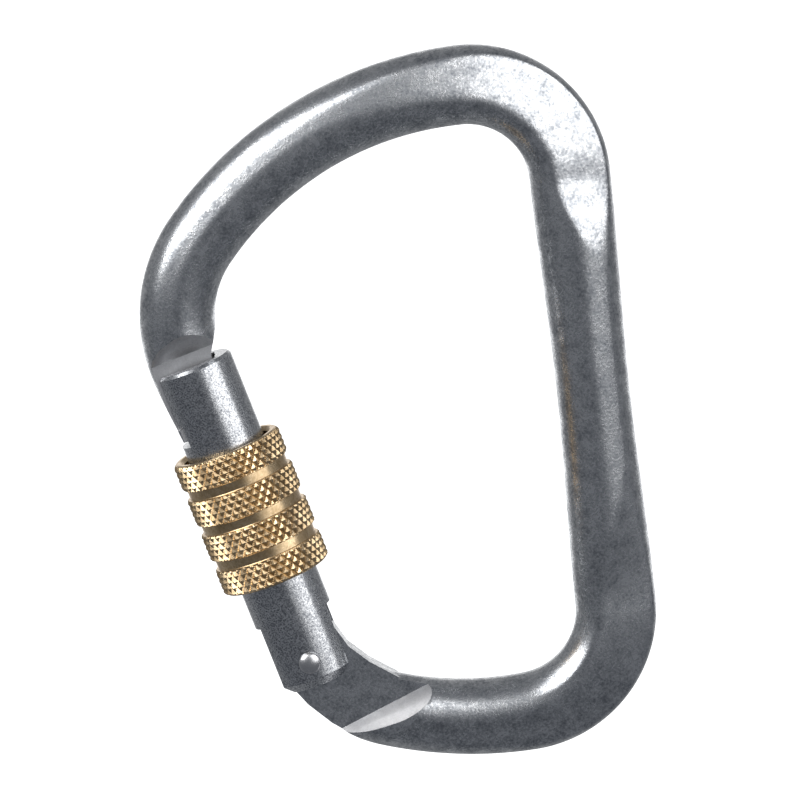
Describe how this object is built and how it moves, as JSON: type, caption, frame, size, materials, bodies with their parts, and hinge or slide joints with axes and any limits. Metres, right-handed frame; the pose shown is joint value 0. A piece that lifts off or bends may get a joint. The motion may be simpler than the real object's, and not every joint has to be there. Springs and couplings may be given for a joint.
{
  "type": "locking carabiner",
  "caption": "Pear-shaped forged steel carabiner with an inward-opening sprung gate and a knurled brass screw sleeve that locks the gate to the nose.",
  "frame": {"origin": "inner apex of the wide basket, where the load hangs from or rests", "axes": "+Z parallel to the straight spine, towards the wide basket; the gate is on the -X side; -Y is the front face"},
  "size_m": [0.0758, 0.0178, 0.1126],
  "materials": {
    "forged_steel": "forged, tumbled and plated steel, mottled grey",
    "gate_steel": "fine-grained plated steel",
    "rivet_steel": "polished domed head",
    "plunger_steel": "turned steel",
    "spring_steel": "drawn spring wire",
    "sleeve_brass": "knurled brass with plain grooves",
    "ring_rubber": "matt black rubber"
  },
  "bodies": {
    "frame": {"body": "forged_steel", "hinge_rivet": "rivet_steel"},
    "gate": {"gate_tube": "gate_steel"},
    "plunger": {"spring_plunger": "plunger_steel", "gate_spring": "spring_steel"},
    "sleeve_carrier": {"sleeve_friction_ring": "ring_rubber"},
    "sleeve": {"locking_sleeve": "sleeve_brass"}
  },
  "joints": [
    {"name": "gate_hinge", "type": "hinge", "parent": "frame", "child": "gate", "pos_m": [-0.0331, 0, -0.0809], "axis": [0, 1, 0], "range_deg": [0, 30], "stiffness_Nm_per_rad": 0.019, "springref_deg": -114.59},
    {"name": "plunger_slide", "type": "slide", "parent": "gate", "child": "plunger", "axis": [-0.2588, 0, 0.9659], "range_m": [0, 0.00131], "deforming": ["gate_spring"]},
    {"name": "sleeve_travel", "type": "slide", "parent": "gate", "child": "sleeve_carrier", "axis": [-0.2588, 0, 0.9659], "range_m": [-0.001, 0.0133]},
    {"name": "sleeve_spin", "type": "hinge", "parent": "sleeve_carrier", "child": "sleeve", "pos_m": [-0.0331, 0, -0.0809], "axis": [-0.2588, 0, 0.9659], "range_deg": [-181, 2396]}
  ],
  "couplings": [
    {"joint": "plunger_slide", "follows": "gate_hinge", "m_per_rad": 0.0025},
    {"joint": "sleeve_spin", "follows": "sleeve_travel", "rad_per_m": 3141.6}
  ]
}
